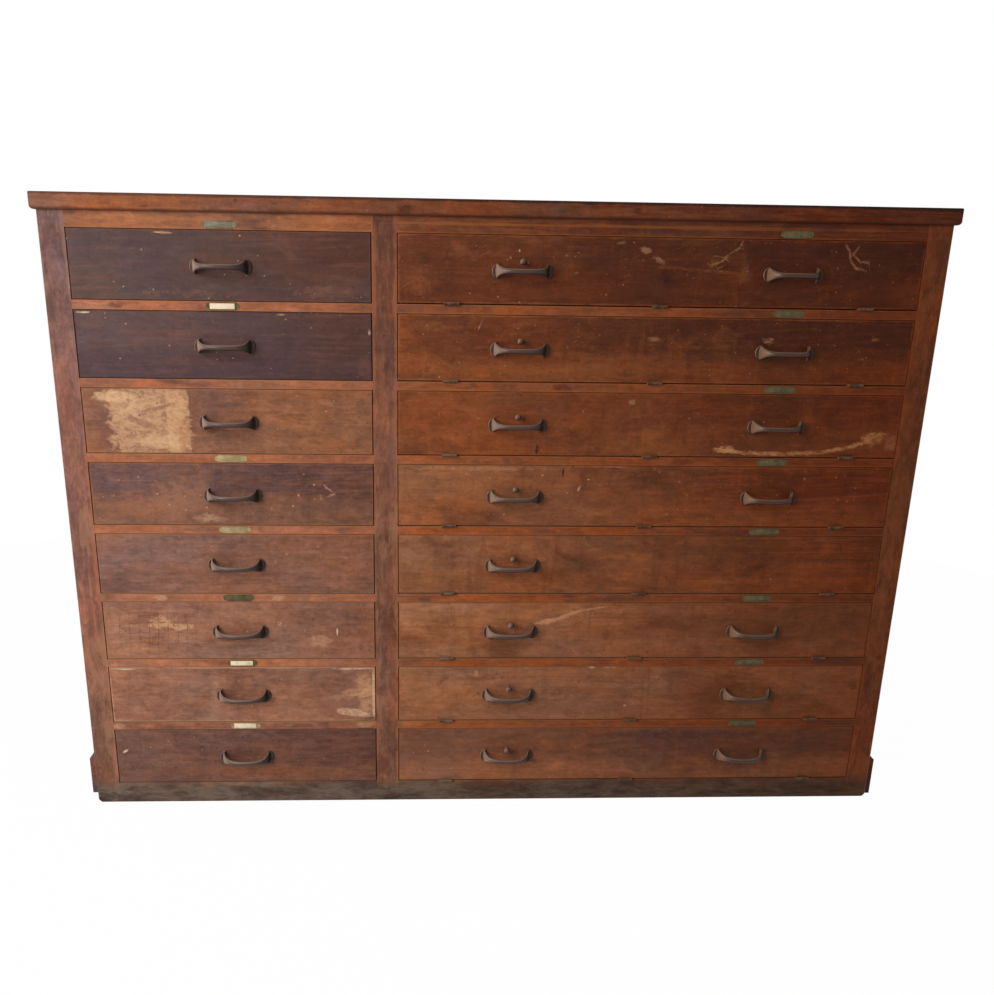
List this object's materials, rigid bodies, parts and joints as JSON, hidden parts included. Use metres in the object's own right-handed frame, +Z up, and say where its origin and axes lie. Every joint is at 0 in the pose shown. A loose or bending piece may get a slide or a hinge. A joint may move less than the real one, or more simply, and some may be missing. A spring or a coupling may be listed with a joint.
{
  "type": "type case cabinet",
  "caption": "Floor-standing printer's wooden cabinet: a narrow column of plain drawers beside a wide column of trays with drop fronts, iron bow pulls and thumb catches.",
  "frame": {"origin": "on the floor, under the middle of the box that holds the closed cabinet with its pulls and skirt boards", "axes": "+X along the front to the viewer's right, +Y from the drawer fronts to the back, +Z up"},
  "size_m": [1.703, 0.635, 1.228],
  "materials": {
    "case_wood": "old varnished hardwood, worn and darkened",
    "frame_wood": "old varnished hardwood, worn at the arrises",
    "top_wood": "old varnished hardwood, darker along its edges",
    "drawer_wood": "old varnished hardwood, scratched and worn",
    "tray_wood": "bare wood, aged",
    "skirt_wood": "old varnished hardwood, faded",
    "dark_iron": "dark, rubbed bright on raised parts",
    "label_brass": "aged, green in places"
  },
  "bodies": {
    "cabinet": {"cabinet_top": "top_wood", "front_stiles": "frame_wood", "front_rails": "frame_wood", "side_left": "case_wood", "side_right": "case_wood", "centre_partition": "case_wood", "back_boards": "case_wood", "bottom_boards": "case_wood", "drawer_runners": "case_wood", "side_skirts": "skirt_wood", "label_holders": "label_brass", "strike_plates": "dark_iron"},
    "small drawer 1": {"small_drawer_1": "drawer_wood", "small_pull_1": "dark_iron"},
    "wide tray 1": {"wide_tray_1": "tray_wood"},
    "drop front 1": {"drop_front_1": "drawer_wood", "front_irons_1": "dark_iron"},
    "catch button 1": {"catch_button_1": "dark_iron"},
    "small drawer 2": {"small_drawer_2": "drawer_wood", "small_pull_2": "dark_iron"},
    "wide tray 2": {"wide_tray_2": "tray_wood"},
    "drop front 2": {"drop_front_2": "drawer_wood", "front_irons_2": "dark_iron"},
    "catch button 2": {"catch_button_2": "dark_iron"},
    "small drawer 3": {"small_drawer_3": "drawer_wood", "small_pull_3": "dark_iron"},
    "wide tray 3": {"wide_tray_3": "tray_wood"},
    "drop front 3": {"drop_front_3": "drawer_wood", "front_irons_3": "dark_iron"},
    "catch button 3": {"catch_button_3": "dark_iron"},
    "small drawer 4": {"small_drawer_4": "drawer_wood", "small_pull_4": "dark_iron"},
    "wide tray 4": {"wide_tray_4": "tray_wood"},
    "drop front 4": {"drop_front_4": "drawer_wood", "front_irons_4": "dark_iron"},
    "catch button 4": {"catch_button_4": "dark_iron"},
    "small drawer 5": {"small_drawer_5": "drawer_wood", "small_pull_5": "dark_iron"},
    "wide tray 5": {"wide_tray_5": "tray_wood"},
    "drop front 5": {"drop_front_5": "drawer_wood", "front_irons_5": "dark_iron"},
    "catch button 5": {"catch_button_5": "dark_iron"},
    "small drawer 6": {"small_drawer_6": "drawer_wood", "small_pull_6": "dark_iron"},
    "wide tray 6": {"wide_tray_6": "tray_wood"},
    "drop front 6": {"drop_front_6": "drawer_wood", "front_irons_6": "dark_iron"},
    "catch button 6": {"catch_button_6": "dark_iron"},
    "small drawer 7": {"small_drawer_7": "drawer_wood", "small_pull_7": "dark_iron"},
    "wide tray 7": {"wide_tray_7": "tray_wood"},
    "drop front 7": {"drop_front_7": "drawer_wood", "front_irons_7": "dark_iron"},
    "catch button 7": {"catch_button_7": "dark_iron"},
    "small drawer 8": {"small_drawer_8": "drawer_wood", "small_pull_8": "dark_iron"},
    "wide tray 8": {"wide_tray_8": "tray_wood"},
    "drop front 8": {"drop_front_8": "drawer_wood", "front_irons_8": "dark_iron"},
    "catch button 8": {"catch_button_8": "dark_iron"}
  },
  "joints": [
    {"name": "small_drawer_1_slide", "type": "slide", "parent": "cabinet", "child": "small drawer 1", "axis": [0, -1, 0], "range_m": [0, 0.43]},
    {"name": "wide_tray_1_slide", "type": "slide", "parent": "cabinet", "child": "wide tray 1", "axis": [0, -1, 0], "range_m": [0, 0.43]},
    {"name": "drop_front_1_hinge", "type": "hinge", "parent": "wide tray 1", "child": "drop front 1", "pos_m": [0.3, -0.286, 1.0455], "axis": [1, 0, 0], "range_deg": [0, 90]},
    {"name": "catch_button_1_press", "type": "slide", "parent": "drop front 1", "child": "catch button 1", "axis": [0, 1, 0], "range_m": [0, 0.004], "stiffness_N_per_m": 400, "springref_m": -0.002},
    {"name": "small_drawer_2_slide", "type": "slide", "parent": "cabinet", "child": "small drawer 2", "axis": [0, -1, 0], "range_m": [0, 0.43]},
    {"name": "wide_tray_2_slide", "type": "slide", "parent": "cabinet", "child": "wide tray 2", "axis": [0, -1, 0], "range_m": [0, 0.43]},
    {"name": "drop_front_2_hinge", "type": "hinge", "parent": "wide tray 2", "child": "drop front 2", "pos_m": [0.3, -0.286, 0.903], "axis": [1, 0, 0], "range_deg": [0, 90]},
    {"name": "catch_button_2_press", "type": "slide", "parent": "drop front 2", "child": "catch button 2", "axis": [0, 1, 0], "range_m": [0, 0.004], "stiffness_N_per_m": 400, "springref_m": -0.002},
    {"name": "small_drawer_3_slide", "type": "slide", "parent": "cabinet", "child": "small drawer 3", "axis": [0, -1, 0], "range_m": [0, 0.43]},
    {"name": "wide_tray_3_slide", "type": "slide", "parent": "cabinet", "child": "wide tray 3", "axis": [0, -1, 0], "range_m": [0, 0.43]},
    {"name": "drop_front_3_hinge", "type": "hinge", "parent": "wide tray 3", "child": "drop front 3", "pos_m": [0.3, -0.286, 0.7605], "axis": [1, 0, 0], "range_deg": [0, 90]},
    {"name": "catch_button_3_press", "type": "slide", "parent": "drop front 3", "child": "catch button 3", "axis": [0, 1, 0], "range_m": [0, 0.004], "stiffness_N_per_m": 400, "springref_m": -0.002},
    {"name": "small_drawer_4_slide", "type": "slide", "parent": "cabinet", "child": "small drawer 4", "axis": [0, -1, 0], "range_m": [0, 0.43]},
    {"name": "wide_tray_4_slide", "type": "slide", "parent": "cabinet", "child": "wide tray 4", "axis": [0, -1, 0], "range_m": [0, 0.43]},
    {"name": "drop_front_4_hinge", "type": "hinge", "parent": "wide tray 4", "child": "drop front 4", "pos_m": [0.3, -0.286, 0.618], "axis": [1, 0, 0], "range_deg": [0, 90]},
    {"name": "catch_button_4_press", "type": "slide", "parent": "drop front 4", "child": "catch button 4", "axis": [0, 1, 0], "range_m": [0, 0.004], "stiffness_N_per_m": 400, "springref_m": -0.002},
    {"name": "small_drawer_5_slide", "type": "slide", "parent": "cabinet", "child": "small drawer 5", "axis": [0, -1, 0], "range_m": [0, 0.43]},
    {"name": "wide_tray_5_slide", "type": "slide", "parent": "cabinet", "child": "wide tray 5", "axis": [0, -1, 0], "range_m": [0, 0.43]},
    {"name": "drop_front_5_hinge", "type": "hinge", "parent": "wide tray 5", "child": "drop front 5", "pos_m": [0.3, -0.286, 0.4755], "axis": [1, 0, 0], "range_deg": [0, 90]},
    {"name": "catch_button_5_press", "type": "slide", "parent": "drop front 5", "child": "catch button 5", "axis": [0, 1, 0], "range_m": [0, 0.004], "stiffness_N_per_m": 400, "springref_m": -0.002},
    {"name": "small_drawer_6_slide", "type": "slide", "parent": "cabinet", "child": "small drawer 6", "axis": [0, -1, 0], "range_m": [0, 0.43]},
    {"name": "wide_tray_6_slide", "type": "slide", "parent": "cabinet", "child": "wide tray 6", "axis": [0, -1, 0], "range_m": [0, 0.43]},
    {"name": "drop_front_6_hinge", "type": "hinge", "parent": "wide tray 6", "child": "drop front 6", "pos_m": [0.3, -0.286, 0.333], "axis": [1, 0, 0], "range_deg": [0, 90]},
    {"name": "catch_button_6_press", "type": "slide", "parent": "drop front 6", "child": "catch button 6", "axis": [0, 1, 0], "range_m": [0, 0.004], "stiffness_N_per_m": 400, "springref_m": -0.002},
    {"name": "small_drawer_7_slide", "type": "slide", "parent": "cabinet", "child": "small drawer 7", "axis": [0, -1, 0], "range_m": [0, 0.43]},
    {"name": "wide_tray_7_slide", "type": "slide", "parent": "cabinet", "child": "wide tray 7", "axis": [0, -1, 0], "range_m": [0, 0.43]},
    {"name": "drop_front_7_hinge", "type": "hinge", "parent": "wide tray 7", "child": "drop front 7", "pos_m": [0.3, -0.286, 0.1905], "axis": [1, 0, 0], "range_deg": [0, 90]},
    {"name": "catch_button_7_press", "type": "slide", "parent": "drop front 7", "child": "catch button 7", "axis": [0, 1, 0], "range_m": [0, 0.004], "stiffness_N_per_m": 400, "springref_m": -0.002},
    {"name": "small_drawer_8_slide", "type": "slide", "parent": "cabinet", "child": "small drawer 8", "axis": [0, -1, 0], "range_m": [0, 0.43]},
    {"name": "wide_tray_8_slide", "type": "slide", "parent": "cabinet", "child": "wide tray 8", "axis": [0, -1, 0], "range_m": [0, 0.43]},
    {"name": "drop_front_8_hinge", "type": "hinge", "parent": "wide tray 8", "child": "drop front 8", "pos_m": [0.3, -0.286, 0.048], "axis": [1, 0, 0], "range_deg": [0, 90]},
    {"name": "catch_button_8_press", "type": "slide", "parent": "drop front 8", "child": "catch button 8", "axis": [0, 1, 0], "range_m": [0, 0.004], "stiffness_N_per_m": 400, "springref_m": -0.002}
  ]
}
